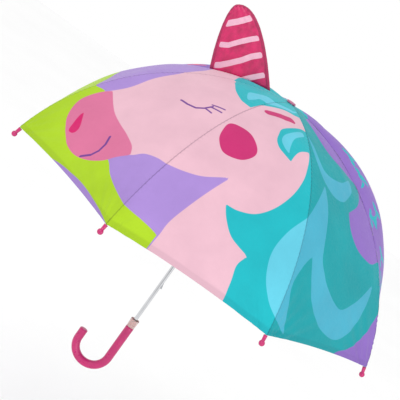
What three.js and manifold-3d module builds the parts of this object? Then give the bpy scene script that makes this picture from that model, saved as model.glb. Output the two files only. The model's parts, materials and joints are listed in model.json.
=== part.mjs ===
// Children's umbrella with a soft horn, standing open. Millimetres, +Z up along the shaft.
// The origin is the middle of the straight grip, on the shaft's axis. The hook opens towards -X.
import * as THREE from 'three';
import { mergeVertices } from 'three/addons/utils/BufferGeometryUtils.js';
import Module from 'manifold-3d';

const wasm = await Module();
wasm.setup();

const degrees = Math.PI / 180;

// ---- clearances ----
const fit = 0.3; // between pieces that touch or slide
const swing = 0.3; // beside a blade that turns in a slot
const pinPlay = 0.35; // round a pin or wire in an eye
const past = 1; // how far a cutting shape runs past the surface it cuts

// ---- the eight ribs ----
const ribCount = 8;
const firstRibTurn = 162 * degrees; // from +X; the horn stands on the first rib
const pivotRadius = 9; // rib and stretcher pivots from the shaft's axis
const ribLength = 475; // along the curve, from the pivot to the end
const slopeAtCrown = 4.6 * degrees; // below level
const slopeAtTip = 73 * degrees;
const slopeGrowth = 1.1; // 1 would be a round arc, more bends later
const ribWidth = 2.4;
const ribDepth = 3;
const ribSteps = 10;
const jointAlongRib = 190; // where the stretcher is riveted
const jointDrop = 1.2; // rivet below the rib's middle
const flexAlongRib = 250; // where the outer half starts
const flexLap = 4; // the halves lie side by side this far
const foldedJointRadius = 40; // from the axis to the rivet when folded

// ---- eyes, pins and the crown ----
const crownEyeRadius = 1.7; // the rib's round end on the wire
const eyeRadius = 2.2; // the stretcher's ends
const wireRadius = 0.6;
const rivetRadius = 1;
const rivetHeadRadius = 1.9;
const rivetHeadThickness = 0.7;
const crownAbovePivot = 1.2;
const crownBelowPivot = 4.5;
const hubRim = 2; // hub material outside the pivot circle
const wireSteps = 32;

// ---- stretchers and runner ----
const stretcherThickness = 1.6;
const runnerHeadHalf = 4.2; // half the height of the notched head
const runnerLength = 38; // from the stretcher pivots down
const runnerRadius = 6.2; // the ring round its foot
const runnerSleeveRadius = 5.4;
const runnerRingHeight = 6;
const runnerRingEase = 1.2; // sloped part above and below the ring

// ---- shaft and catches ----
const shaftRadius = 3.5;
const shaftWall = 0.6;
const shaftAboveCrown = 3.6;
const catchWidth = 2.4;
const catchLength = 12;
const catchReach = 5.9; // from the axis
const catchRoot = 1.2; // from the axis
const catchLip = 0.8;
const catchHeel = 0.2; // its low end, inside the shaft's surface
const windowFoot = 17.3; // below the runner's pivots
const catchAboveGrip = 88.5; // the folded runner stands on it; it sets how long the shaft is

// ---- grip, hook and collar ----
const gripRadius = 7.6;
const gripLength = 70;
const hookRadius = 32;
const hookRise = 18;
const shaftInGrip = 30;
const collarLength = 16;
const collarFootRadius = 7.2;
const collarRimRadius = 8.2;
const collarWall = 1.1;
const collarFloor = 2;

// ---- rib tips ----
const tipNeckRadius = 3.2;
const tipBallRadius = 4.75;
const tipCover = 5; // how much of the rib is inside the tip
const tipBore = 2.35;
const tipNeckLength = 8.2; // from the mouth to the ball

// ---- canopy, horn and cap ----
const clothThickness = 0.8;
const clothHoleRadius = 5.5;
const hemScallop = 5; // how far the hem draws in between two ribs
const slackBillow = 24; // how far the back gores stand out between two ribs, halfway down
const tautBillow = 6; // the same for the front gores
const tautGores = 4; // counted from the horn's rib
const billowLength = 445; // along the rib, from the crown to where the cloth is flat again
const billowPower = 1.25;
const capRadius = 8.5;
const capHeight = 3.6;
const capRoof = 1.4;
const capEdge = 1.1;
const hornFrom = 34; // along the first rib
const hornTo = 152;
const hornThickness = 3;
const hornReach = 170; // from the shaft's axis to the middle of the horn's top
const hornRise = 86; // from the rib pivots to the horn's top
const hornTopWidth = 27;
const hornTopCrown = 9;
const hornBow = 9.5; // how far its edges bow outwards

// ---- colours ----
const plastic = (colour) => new THREE.MeshStandardMaterial({ color: colour, roughness: 0.35 });
const metal = (colour, roughness) =>
  new THREE.MeshStandardMaterial({ color: colour, roughness, metalness: 1 });
const cloth = (colour) =>
  new THREE.MeshStandardMaterial({ color: colour, roughness: 0.8, side: THREE.DoubleSide });
const magenta = plastic(0xc21d72);
const palePink = plastic(0xf2c6cf);
const dustyPink = plastic(0xc76b8e);
const whitePlastic = plastic(0xe8e6e8);
const chrome = metal(0xd8d8da, 0.15);
const zinc = metal(0xa9abae, 0.4);
const teal = cloth(0x3cc0c4);
const pink = cloth(0xf0c4d6);
const hotPink = cloth(0xe61974);

// ---- solids ----

// A closed geometry as a solid that can be joined and cut.
function solid(geometry) {
  const bare = geometry.index ? geometry.toNonIndexed() : geometry.clone();
  bare.deleteAttribute('normal');
  bare.deleteAttribute('uv');
  const merged = mergeVertices(bare, 1e-4);
  return new wasm.Manifold(
    new wasm.Mesh({
      numProp: 3,
      vertProperties: merged.attributes.position.array,
      triVerts: merged.index.array,
    }),
  );
}

function geometryOf(body) {
  const mesh = body.getMesh();
  const geometry = new THREE.BufferGeometry();
  geometry.setAttribute('position', new THREE.BufferAttribute(mesh.vertProperties, 3));
  geometry.setIndex(new THREE.BufferAttribute(mesh.triVerts, 1));
  geometry.computeVertexNormals();
  return geometry;
}

// Joins the geometries in add, then takes away those in cut.
function carved(add, cut) {
  let body = solid(add[0]);
  for (const geometry of add.slice(1)) body = body.add(solid(geometry));
  for (const geometry of cut) body = body.subtract(solid(geometry));
  return geometryOf(body);
}

// A body turned about +Z from [radius, height] points, listed with the material on their left.
function turned(points, sides = 24) {
  const profile = points.map(([radius, height]) => new THREE.Vector2(radius, height));
  return new THREE.LatheGeometry(profile, sides).rotateX(Math.PI / 2);
}

function rod(radius, bottom, top, sides = 24) {
  return turned([[0, bottom], [radius, bottom], [radius, top], [0, top]], sides);
}

// A flat outline in the X-Z plane, given thickness along Y.
function slab(shape, fromY, toY, curveSegments = 6) {
  return new THREE.ExtrudeGeometry(shape, {
    depth: toY - fromY,
    bevelEnabled: false,
    curveSegments,
  })
    .rotateX(Math.PI / 2)
    .translate(0, toY, 0);
}

function polygon(points) {
  return new THREE.Shape(points.map(([x, z]) => new THREE.Vector2(x, z)));
}

function disc(x, z, radius) {
  return new THREE.Shape().absarc(x, z, radius, 0, 2 * Math.PI);
}

function box(fromX, toX, fromY, toY, fromZ, toZ) {
  return new THREE.BoxGeometry(toX - fromX, toY - fromY, toZ - fromZ).translate(
    (fromX + toX) / 2,
    (fromY + toY) / 2,
    (fromZ + toZ) / 2,
  );
}

// ---- the rib's curve, in the plane of one rib: x outwards, z up ----

function slopeAt(along) {
  const share = Math.max(along, 0) / ribLength;
  return slopeAtCrown + (slopeAtTip - slopeAtCrown) * share ** slopeGrowth;
}

// How far out from the shaft's axis and how far below the pivot the rib is.
function ribFall(along) {
  const pieces = 24;
  const step = along / pieces;
  let x = pivotRadius;
  let drop = 0;
  for (let i = 0; i < pieces; i++) {
    const slope = slopeAt((i + 0.5) * step);
    x += step * Math.cos(slope);
    drop += step * Math.sin(slope);
  }
  return { x, drop };
}

function jointFall() {
  const { x, drop } = ribFall(jointAlongRib);
  const slope = slopeAt(jointAlongRib);
  return { x: x - jointDrop * Math.sin(slope), drop: drop + jointDrop * Math.cos(slope) };
}

// The folded runner's height and the folded stretchers give the height of the crown.
const { x: jointReach, drop: jointBelowCrown } = jointFall();
const stretcherLength = Math.hypot(jointReach - pivotRadius, jointBelowCrown);
const foldedDrop = Math.sqrt(stretcherLength ** 2 - (foldedJointRadius - pivotRadius) ** 2);
const foldedRunnerHeight = gripLength / 2 + catchAboveGrip + windowFoot;
const crownHeight = foldedRunnerHeight + 2 * foldedDrop;

function ribPoint(along) {
  const { x, drop } = ribFall(along);
  return { x, z: crownHeight - drop };
}

class RibCurve extends THREE.Curve {
  constructor(from, to) {
    super();
    this.from = from;
    this.to = to;
  }
  getPoint(share) {
    const { x, z } = ribPoint(this.from + (this.to - this.from) * share);
    return new THREE.Vector3(x, 0, z);
  }
}

const joint = { x: jointReach, z: crownHeight - jointBelowCrown };
const flex = ribPoint(flexAlongRib);
const runnerHeight = crownHeight - 2 * jointBelowCrown; // the stretcher mirrors the rib's inner part
const stretcherInside = ribWidth / 2 + swing; // the stretcher runs beside its rib
const stretcherOutside = stretcherInside + stretcherThickness;
const slotDepthRadius = pivotRadius - eyeRadius - swing;
const halfGore = Math.PI / ribCount;
const clothFall = (ribWidth / 2) * Math.tan(halfGore); // how far the gores fall away beside the rib
const clothLift = crownEyeRadius + clothFall + fit; // the cloth's underside above the rib's middle

function ribBar(from, to) {
  const section = polygon([
    [-ribWidth / 2, -ribDepth / 2],
    [ribWidth / 2, -ribDepth / 2],
    [ribWidth / 2, ribDepth / 2],
    [-ribWidth / 2, ribDepth / 2],
  ]);
  return new THREE.ExtrudeGeometry(section, {
    steps: ribSteps,
    bevelEnabled: false,
    extrudePath: new RibCurve(from, to),
  });
}

// Half of the rib's width over the lap, on the side given by side (1 or -1), cut round the flex point.
function lapCut(side) {
  const reach = flexLap + ribDepth;
  const inner = side > 0 ? -swing / 2 : -ribWidth;
  const outer = side > 0 ? ribWidth : swing / 2;
  return box(-reach, reach, inner, outer, -ribDepth, ribDepth)
    .rotateY(slopeAt(flexAlongRib))
    .translate(flex.x, 0, flex.z);
}

// The inner half: an eye on the crown's wire, the rivet for the stretcher, and the lap at its end.
function ribGeometry() {
  const rivetEnd = stretcherOutside + fit + rivetHeadThickness;
  const rivet = slab(disc(joint.x, joint.z, rivetRadius), 0, rivetEnd);
  const head = slab(disc(joint.x, joint.z, rivetHeadRadius), stretcherOutside + fit, rivetEnd);
  const lug = slab(disc(joint.x, joint.z, rivetHeadRadius), -ribWidth / 2, ribWidth / 2);
  const eye = slab(disc(pivotRadius, crownHeight, crownEyeRadius), -ribWidth / 2, ribWidth / 2);
  const knuckle = slab(disc(flex.x, flex.z, ribDepth / 2), -ribWidth / 2, ribWidth / 2);
  const hole = slab(disc(pivotRadius, crownHeight, wireRadius + pinPlay), -ribWidth, ribWidth);
  return carved([ribBar(0, flexAlongRib), eye, knuckle, lug, rivet, head], [hole, lapCut(1)]);
}

// The outer half, from the lap to the end inside the tip.
function ribEndGeometry() {
  const knuckle = slab(disc(flex.x, flex.z, ribDepth / 2), -ribWidth / 2, ribWidth / 2);
  return carved([ribBar(flexAlongRib, ribLength), knuckle], [lapCut(-1)]);
}

function stretcherGeometry() {
  const lean = Math.atan2(joint.z - runnerHeight, joint.x - pivotRadius);
  const outline = new THREE.Shape();
  outline.absarc(joint.x, joint.z, eyeRadius, lean - Math.PI / 2, lean + Math.PI / 2);
  outline.absarc(pivotRadius, runnerHeight, eyeRadius, lean + Math.PI / 2, lean + 1.5 * Math.PI);
  outline.holes.push(disc(joint.x, joint.z, rivetRadius + pinPlay));
  return slab(outline, stretcherInside, stretcherOutside, 5);
}

function tipGeometry() {
  const ballMiddle = tipNeckLength + tipBallRadius;
  const start = -Math.acos(tipNeckRadius / tipBallRadius);
  const arc = [];
  const pieces = 7;
  for (let i = 0; i < pieces; i++) {
    const angle = start + ((Math.PI / 2 - start) * i) / pieces;
    arc.push([tipBallRadius * Math.cos(angle), ballMiddle + tipBallRadius * Math.sin(angle)]);
  }
  const floor = tipCover + fit;
  const profile = [
    [0, floor],
    [tipBore, floor],
    [tipBore, 0],
    [tipNeckRadius, 0],
    ...arc,
    [0, ballMiddle + tipBallRadius],
  ];
  return turned(profile, 12);
}

// ---- canopy cloth, one rib's share: half a gore on each side ----

// How far the cloth stands out from the straight line between two ribs.
function billowAt(rib, along, across) {
  const gore = (rib + (across < 0 ? ribCount - 1 : 0)) % ribCount;
  const most = gore < tautGores ? tautBillow : slackBillow;
  const share = Math.min(Math.max(along / billowLength, 0), 1);
  const away = Math.abs(across);
  return most * Math.sin(Math.PI * share) ** billowPower * away * (2 - away);
}

// along: down the rib; across: -1 to 1, from one gore's middle line to the next; lift: above the rib.
function clothPoint(along, across, lift, rib = 0) {
  const slope = slopeAt(along);
  const { x, z } = ribPoint(along);
  const radius = x + lift * Math.sin(slope);
  const halfWidth = radius * Math.cos(halfGore) * Math.sin(halfGore) - fit / 2;
  const inwards = radius * Math.abs(across) * Math.sin(halfGore) ** 2;
  const billow = billowAt(rib, along, across);
  const outwards = billow * Math.sin(slope);
  return [
    radius - inwards + outwards * Math.cos(halfGore),
    across * halfWidth + outwards * Math.sin(halfGore) * Math.sign(across),
    z + (lift + billow) * Math.cos(slope),
  ];
}

function clothGeometry(rib, from, to, scallop) {
  const rows = ribSteps; // bends where the rib below it bends
  const columns = 8;
  const vertices = [];
  for (const lift of [clothLift, clothLift + clothThickness]) {
    for (let i = 0; i <= rows; i++) {
      for (let j = 0; j <= columns; j++) {
        const across = (2 * j) / columns - 1;
        const share = Math.abs(across);
        const end = to - scallop * share * (2 - share);
        const along = from + ((end - from) * i) / rows;
        vertices.push(...clothPoint(along, across, lift, rib));
      }
    }
  }
  const layer = (rows + 1) * (columns + 1);
  const at = (i, j, top) => i * (columns + 1) + j + (top ? layer : 0);
  const faces = [];
  const quad = (a, b, c, d) => faces.push(a, b, c, a, c, d);
  for (let i = 0; i < rows; i++) {
    for (let j = 0; j < columns; j++) {
      quad(at(i, j, true), at(i + 1, j, true), at(i + 1, j + 1, true), at(i, j + 1, true));
      quad(at(i, j), at(i, j + 1), at(i + 1, j + 1), at(i + 1, j));
    }
    quad(at(i, 0), at(i + 1, 0), at(i + 1, 0, true), at(i, 0, true));
    quad(at(i + 1, columns), at(i, columns), at(i, columns, true), at(i + 1, columns, true));
  }
  for (let j = 0; j < columns; j++) {
    quad(at(0, j + 1), at(0, j), at(0, j, true), at(0, j + 1, true));
    quad(at(rows, j), at(rows, j + 1), at(rows, j + 1, true), at(rows, j, true));
  }
  const geometry = new THREE.BufferGeometry();
  geometry.setAttribute('position', new THREE.Float32BufferAttribute(vertices, 3));
  geometry.setIndex(faces);
  geometry.computeVertexNormals();
  return geometry;
}

// The flat horn in the plane of the first rib, standing just clear of the cloth.
function hornGeometry() {
  const foot = clothLift + clothThickness + fit;
  const base = [];
  const pieces = 6;
  for (let i = 0; i <= pieces; i++) {
    const along = hornFrom + ((hornTo - hornFrom) * i) / pieces;
    const [, halfWidth] = clothPoint(along, 1, foot);
    const rise = billowAt(0, along, -hornThickness / 2 / halfWidth);
    const [x, , z] = clothPoint(along, 0, foot + rise);
    base.push(new THREE.Vector2(x, z));
  }
  const front = base[pieces];
  const back = base[0];
  const top = new THREE.Vector2(hornReach, crownHeight + hornRise);
  const middle = front.clone().add(back).multiplyScalar(0.5);
  const axis = top.clone().sub(middle).normalize();
  const outwards = new THREE.Vector2(axis.y, -axis.x);
  const topFront = top.clone().addScaledVector(outwards, hornTopWidth / 2);
  const topBack = top.clone().addScaledVector(outwards, -hornTopWidth / 2);
  const bowed = (a, b, bow) => {
    const side = b.clone().sub(a).normalize();
    const off = new THREE.Vector2(side.y, -side.x).multiplyScalar(2 * bow);
    return a.clone().add(b).multiplyScalar(0.5).add(off);
  };
  const outline = new THREE.Shape(base);
  const edge = (a, b, bow) => {
    const control = bowed(a, b, bow);
    outline.quadraticCurveTo(control.x, control.y, b.x, b.y);
  };
  edge(front, topFront, hornBow);
  edge(topFront, topBack, hornTopCrown);
  edge(topBack, back, hornBow);
  return slab(outline, -hornThickness / 2, hornThickness / 2, 6);
}

// ---- pieces on the shaft ----

// A notched hub on the shaft, with one slot for each rib or stretcher.
function hubGeometry(height, below, above, slotFrom, slotTo, extra, cuts) {
  const radius = pivotRadius + hubRim;
  const bore = shaftRadius + fit;
  const hub = turned([
    [bore, height - below],
    [radius, height - below],
    [radius, height + above],
    [bore, height + above],
    [bore, height - below],
  ]);
  const slots = [];
  for (let i = 0; i < ribCount; i++) {
    slots.push(
      box(slotDepthRadius, radius + past, slotFrom, slotTo, height - below - past, height + above + past)
        .rotateZ(firstRibTurn + 2 * halfGore * i),
    );
  }
  return carved([hub, ...extra], [...slots, ...cuts]);
}

function wireRing(radius, sides) {
  return new THREE.TorusGeometry(pivotRadius, radius, sides, wireSteps).translate(0, 0, crownHeight);
}

function crownGeometry() {
  const slot = ribWidth / 2 + swing;
  const channel = wireRing(wireRadius + pinPlay, 8);
  return hubGeometry(crownHeight, crownBelowPivot, crownAbovePivot, -slot, slot, [], [channel]);
}

// The sleeve with its notched head on top and a window that takes the bottom catch.
function runnerGeometry() {
  const bore = shaftRadius + fit;
  const foot = runnerHeight - runnerLength;
  const top = runnerHeight - runnerHeadHalf + past;
  const sleeve = turned([
    [bore, foot],
    [runnerSleeveRadius, foot],
    [runnerRadius, foot + runnerRingEase],
    [runnerRadius, foot + runnerRingHeight - runnerRingEase],
    [runnerSleeveRadius, foot + runnerRingHeight],
    [runnerSleeveRadius, top],
    [bore, top],
    [bore, foot],
  ]);
  const windowSide = catchWidth / 2 + fit;
  const windowBottom = runnerHeight - windowFoot - fit;
  const windowTop = windowBottom + catchLength + 2 * fit;
  const window = box(0, runnerRadius + past, -windowSide, windowSide, windowBottom, windowTop);
  return hubGeometry(
    runnerHeight,
    runnerHeadHalf,
    runnerHeadHalf,
    stretcherInside - swing,
    stretcherOutside + swing,
    [sleeve],
    [window],
  );
}

const topCatchHeight = runnerHeight - runnerLength - fit;
const bottomCatchHeight = foldedRunnerHeight - windowFoot;

// A sprung tooth with its step at stepHeight; it tapers towards the side given by towards (1 up, -1 down).
function catchGeometry(stepHeight, towards) {
  const end = stepHeight + towards * catchLength;
  const points = [
    [catchRoot, stepHeight],
    [catchReach, stepHeight],
    [catchReach, stepHeight + towards * catchLip],
    [shaftRadius - catchHeel, end],
    [catchRoot, end],
  ];
  return slab(polygon(towards > 0 ? points : points.reverse()), -catchWidth / 2, catchWidth / 2);
}

function shaftGeometry() {
  const foot = gripLength / 2 - shaftInGrip + fit;
  const top = crownHeight + shaftAboveCrown;
  const bore = shaftRadius - shaftWall;
  const tube = turned([
    [bore, foot],
    [shaftRadius, foot],
    [shaftRadius, top],
    [bore, top],
    [bore, foot],
  ]);
  const slot = (stepHeight, towards) => {
    const ends = [stepHeight - towards * fit, stepHeight + towards * (catchLength + fit)];
    const side = catchWidth / 2 + fit;
    return box(0, shaftRadius + past, -side, side, Math.min(...ends), Math.max(...ends));
  };
  return carved([tube], [slot(topCatchHeight, -1), slot(bottomCatchHeight, 1)]);
}

function capGeometry() {
  const [, , clothTop] = clothPoint(clothHoleRadius - pivotRadius, 0, clothLift + clothThickness);
  const foot = clothTop + fit;
  const bore = shaftRadius + fit;
  const ceiling = crownHeight + shaftAboveCrown + fit;
  const top = Math.max(foot + capHeight, ceiling + capRoof);
  return turned([
    [0, ceiling],
    [bore, ceiling],
    [bore, foot],
    [capRadius, foot],
    [capRadius, top - capEdge],
    [capRadius - capEdge, top],
    [0, top],
  ]);
}

function collarGeometry() {
  const foot = gripLength / 2 + fit;
  const top = foot + collarLength;
  const bore = shaftRadius + fit;
  return turned([
    [bore, foot],
    [collarFootRadius, foot],
    [collarRimRadius, top],
    [collarRimRadius - collarWall, top],
    [collarFootRadius - collarWall, foot + collarFloor],
    [bore, foot + collarFloor],
    [bore, foot],
  ]);
}

class HookCurve extends THREE.Curve {
  getPoint(share) {
    const bend = Math.PI * hookRadius;
    const run = share * (gripLength + bend + hookRise);
    const foot = -gripLength / 2;
    if (run <= gripLength) return new THREE.Vector3(0, 0, -foot - run);
    if (run <= gripLength + bend) {
      const angle = -(run - gripLength) / hookRadius;
      return new THREE.Vector3(
        hookRadius * (Math.cos(angle) - 1),
        0,
        foot + hookRadius * Math.sin(angle),
      );
    }
    return new THREE.Vector3(-2 * hookRadius, 0, foot + run - gripLength - bend);
  }
}

function handleGeometry() {
  const bar = new THREE.ExtrudeGeometry(disc(0, 0, gripRadius), {
    steps: 30,
    curveSegments: 8,
    bevelEnabled: false,
    extrudePath: new HookCurve(),
  });
  const top = gripLength / 2;
  return carved([bar], [rod(shaftRadius + fit, top - shaftInGrip, top + past)]);
}

// ---- assembly ----

const umbrella = new THREE.Group();

function place(parent, name, geometry, material) {
  const mesh = new THREE.Mesh(geometry, material);
  mesh.name = name;
  parent.add(mesh);
  return mesh;
}

place(umbrella, 'shaft', shaftGeometry(), chrome);
place(umbrella, 'handle', handleGeometry(), magenta);
place(umbrella, 'handle_collar', collarGeometry(), palePink);
place(umbrella, 'crown', crownGeometry(), whitePlastic);
place(umbrella, 'crown_wire', wireRing(wireRadius, 6), zinc);
place(umbrella, 'top_cap', capGeometry(), dustyPink);
place(umbrella, 'runner', runnerGeometry(), whitePlastic);
place(umbrella, 'top_catch', catchGeometry(topCatchHeight, -1), zinc);
place(umbrella, 'bottom_catch', catchGeometry(bottomCatchHeight, 1), zinc);

const rib = ribGeometry();
const ribEnd = ribEndGeometry();
const stretcher = stretcherGeometry();
const tip = tipGeometry();
const tipMouth = ribPoint(ribLength - tipCover);
// Each share of the cloth: where it starts and ends along the rib, and how far its hem draws in.
const innerCloth = [clothHoleRadius - pivotRadius, flexAlongRib - fit / 2, 0];
const outerCloth = [flexAlongRib + fit / 2, ribLength - tipCover - fit, hemScallop];

for (let i = 0; i < ribCount; i++) {
  const spoke = new THREE.Group();
  spoke.rotation.z = firstRibTurn + 2 * halfGore * i;
  umbrella.add(spoke);
  const number = i + 1;
  place(spoke, `rib_${number}`, rib, zinc);
  place(spoke, `rib_end_${number}`, ribEnd, zinc);
  place(spoke, `stretcher_${number}`, stretcher, zinc);
  const ball = place(spoke, `rib_tip_${number}`, tip, magenta);
  ball.position.set(tipMouth.x, 0, tipMouth.z);
  ball.rotation.y = Math.PI / 2 + slopeAt(ribLength - tipCover / 2);
  const cloth = i > 1 && i < 5 ? teal : pink;
  place(spoke, `canopy_inner_${number}`, clothGeometry(i, ...innerCloth), cloth);
  place(spoke, `canopy_outer_${number}`, clothGeometry(i, ...outerCloth), cloth);
  if (i === 0) place(spoke, 'horn', hornGeometry(), hotPink);
}

export default umbrella;
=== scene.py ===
"""A children's umbrella: printed cloth, a soft horn, ribs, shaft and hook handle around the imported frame."""

import json
import math
import random

import bmesh
import bpy
import numpy as np
from bpy.props import FloatProperty, FloatVectorProperty, IntProperty, PointerProperty
from mathutils import Matrix, Vector


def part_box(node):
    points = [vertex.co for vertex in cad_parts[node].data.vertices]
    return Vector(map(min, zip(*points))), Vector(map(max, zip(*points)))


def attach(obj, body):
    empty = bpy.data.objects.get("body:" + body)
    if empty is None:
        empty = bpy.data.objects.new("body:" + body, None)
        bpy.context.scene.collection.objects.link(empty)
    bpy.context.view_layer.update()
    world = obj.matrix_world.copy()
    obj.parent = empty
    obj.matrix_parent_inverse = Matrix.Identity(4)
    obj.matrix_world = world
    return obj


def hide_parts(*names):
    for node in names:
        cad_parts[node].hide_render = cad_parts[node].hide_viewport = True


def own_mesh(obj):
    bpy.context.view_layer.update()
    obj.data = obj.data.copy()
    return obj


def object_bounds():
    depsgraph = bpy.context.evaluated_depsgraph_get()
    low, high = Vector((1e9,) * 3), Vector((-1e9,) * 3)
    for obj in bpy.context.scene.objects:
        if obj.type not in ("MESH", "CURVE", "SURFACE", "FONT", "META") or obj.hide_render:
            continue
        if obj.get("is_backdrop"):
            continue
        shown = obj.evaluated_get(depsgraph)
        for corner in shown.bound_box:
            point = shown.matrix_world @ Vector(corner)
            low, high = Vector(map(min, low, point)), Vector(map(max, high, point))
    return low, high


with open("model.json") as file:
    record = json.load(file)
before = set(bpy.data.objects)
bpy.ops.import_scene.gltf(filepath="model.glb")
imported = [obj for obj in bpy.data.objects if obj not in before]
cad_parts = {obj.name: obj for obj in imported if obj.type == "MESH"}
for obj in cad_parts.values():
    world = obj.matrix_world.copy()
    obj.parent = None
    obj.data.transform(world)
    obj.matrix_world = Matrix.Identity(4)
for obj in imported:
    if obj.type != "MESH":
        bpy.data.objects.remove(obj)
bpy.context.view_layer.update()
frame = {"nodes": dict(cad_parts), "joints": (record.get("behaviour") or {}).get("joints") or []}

bl_info = {
    "name": "Children's Umbrella",
    "version": (1, 0, 0),
    "blender": (4, 5, 0),
    "location": "3D View > Sidebar > Umbrella",
    "description": "Builds the looks of a children's umbrella around its packed frame",
    "category": "Object",
}

# ---- the frame's own measures ----

RIBS = 8
JOINTS = {joint["name"]: joint for joint in frame["joints"]}
HORN_TURN = math.radians(162)  # the first rib, from +X
GORE = 2 * math.pi / RIBS
PIVOT = Vector(JOINTS["rib_hinge_1"]["pos_m"])
PIVOT_RADIUS = math.hypot(PIVOT.x, PIVOT.y)
CROWN_HEIGHT = PIVOT.z

# The rib's curve, as in the frame: its slope grows from the crown to the tip.
RIB_LENGTH = 0.475
CROWN_SLOPE = math.radians(4.6)
TIP_SLOPE = math.radians(73)
SLOPE_GROWTH = 1.1
FLEX_ALONG = 0.25
CLOTH_FROM = -0.0035
CLOTH_TO = 0.4697
BILLOW_LENGTH = 0.445
BILLOW_POWER = 1.25
TAUT_GORES = 4  # counted from the horn's rib; the animal is printed on them


def srgb(red, green, blue):
    """A colour as eyes see it, from 0 to 255, as linear light."""
    def linear(value):
        value /= 255
        return value / 12.92 if value <= 0.04045 else ((value + 0.055) / 1.055) ** 2.4

    return linear(red), linear(green), linear(blue)


def colour_property(name, description, value):
    return FloatVectorProperty(
        name=name, description=description, subtype="COLOR", size=3, min=0, max=1, default=value
    )


def length_property(name, description, value):
    return FloatProperty(name=name, description=description, unit="LENGTH", default=value, min=0)


class CanopySettings(bpy.types.PropertyGroup):
    """Sizes and colours of the printed cloth."""

    thickness: length_property("Thickness", "Thickness of the cloth", 0.0004)
    lift: length_property("Lift", "Cloth's outside above the rib's middle", 0.0030)
    slack_billow: length_property("Slack billow", "How far the back gores stand out between two ribs", 0.024)
    taut_billow: length_property("Taut billow", "How far the front gores stand out between two ribs", 0.006)
    scallop: length_property("Scallop", "How far the hem draws in between two ribs", 0.005)
    purple: colour_property("Purple", "Ground of the print", srgb(164, 134, 204))
    # Back purple is the print's ground on the back panels. It is also painted shade for the purple on the front gore
    # that faces away from the light.
    back_and_shaded_purple: colour_property("Back purple", "Ground of the panels at the back", srgb(140, 106, 190))
    green: colour_property("Green", "Meadow at the hem", srgb(168, 206, 30))
    face: colour_property("Face", "The animal's face", srgb(224, 180, 194))
    muzzle: colour_property("Muzzle", "The animal's muzzle", srgb(211, 112, 150))
    blush: colour_property("Blush", "Cheek and inner ear", srgb(196, 42, 110))
    nostril: colour_property("Nostril", "Nostril", srgb(206, 26, 104))
    line: colour_property("Line", "Eye, lashes and mouth", srgb(112, 62, 142))
    teal: colour_property("Teal", "Mane", srgb(20, 178, 188))
    # Shaded teal and shaded light blue are painted shade: darker copies of the mane's colours for the front gore that
    # faces away from the light.
    shaded_teal: colour_property("Deep teal", "Mane on the gore behind", srgb(10, 156, 164))
    sky: colour_property("Light blue", "Lights in the mane", srgb(96, 198, 220))
    shaded_sky: colour_property("Deep light blue", "Lights in the mane on the gore behind", srgb(70, 172, 198))


class HornSettings(bpy.types.PropertyGroup):
    """Sizes and colours of the soft horn."""

    thickness: length_property("Thickness", "Thickness in the middle of the horn", 0.005)
    binding_width: length_property("Binding width", "Width of the bound edge", 0.0066)
    binding_depth: length_property("Binding depth", "Thickness of the bound edge", 0.0036)
    satin: colour_property("Satin", "Horn cloth", srgb(214, 10, 98))
    binding: colour_property("Binding", "Bound edge", srgb(178, 14, 84))
    stripe: colour_property("Stripe", "Stripes", srgb(232, 178, 198))


class HandleSettings(bpy.types.PropertyGroup):
    """Sizes and colours of the hook handle."""

    radius: length_property("Bar radius", "Radius of the handle's bar", 0.0076)
    end_round: length_property("End rounding", "Rounding at the free end", 0.002)
    sides: IntProperty(name="Sides", description="Points round the bar", default=40, min=12, max=96)
    magenta: colour_property("Magenta", "Handle and rib tips", srgb(198, 24, 108))
    collar: colour_property("Collar", "Cup above the handle", srgb(236, 200, 196))


class StageSettings(bpy.types.PropertyGroup):
    """Floor, light and camera."""

    distance: length_property("Distance", "Camera to the crown", 1.9)
    elevation: FloatProperty(
        name="Elevation", description="Camera above the horizon", subtype="ANGLE", default=math.radians(3.899)
    )
    roll: FloatProperty(
        name="Roll", description="Turn of the camera about its own axis", subtype="ANGLE",
        default=math.radians(35.466),
    )
    light: FloatProperty(name="Light", description="Strength of the soft surroundings", default=1.0, min=0)


# How the view is set off from the crown, and the lens.
CAMERA_SWING = math.radians(4.536)
CAMERA_NOD = math.radians(4.816)
LENS = 101.18
SENSOR = 36
FLOOR_DROP = 0.25  # the floor is this far below the handle
FLOOR_HALF = 6


# ---- small tools ----


def seeded(seed):
    return random.Random(seed)


def linked(name, mesh):
    piece = bpy.data.objects.new(name, mesh)
    bpy.context.scene.collection.objects.link(piece)
    return piece


def mesh_from(name, points, faces, smooth=True):
    mesh = bpy.data.meshes.new(name)
    mesh.from_pydata([tuple(point) for point in points], [], faces)
    mesh.validate()
    if smooth:
        mesh.shade_smooth()
    return mesh


def face_outwards(mesh):
    shell = bmesh.new()
    shell.from_mesh(mesh)
    bmesh.ops.recalc_face_normals(shell, faces=shell.faces)
    shell.to_mesh(mesh)
    shell.free()


def lathe(name, profile, sides=48, closed=False):
    """A body turned about +Z from (radius, height) points; a radius of zero closes it."""
    points, rings = [], []
    for radius, height in profile:
        if radius < 1e-7:
            rings.append([len(points)])
            points.append((0, 0, height))
            continue
        rings.append(list(range(len(points), len(points) + sides)))
        for i in range(sides):
            turn = 2 * math.pi * i / sides
            points.append((radius * math.cos(turn), radius * math.sin(turn), height))
    faces = []
    pairs = list(zip(rings, rings[1:]))
    if closed:
        pairs.append((rings[-1], rings[0]))
    for low, high in pairs:
        for i in range(sides):
            j = (i + 1) % sides
            if len(low) == 1 and len(high) == 1:
                break
            if len(low) == 1:
                faces.append((low[0], high[j], high[i]))
            elif len(high) == 1:
                faces.append((low[i], low[j], high[0]))
            else:
                faces.append((low[i], low[j], high[j], high[i]))
    mesh = mesh_from(name, points, faces)
    face_outwards(mesh)
    return mesh


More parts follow.
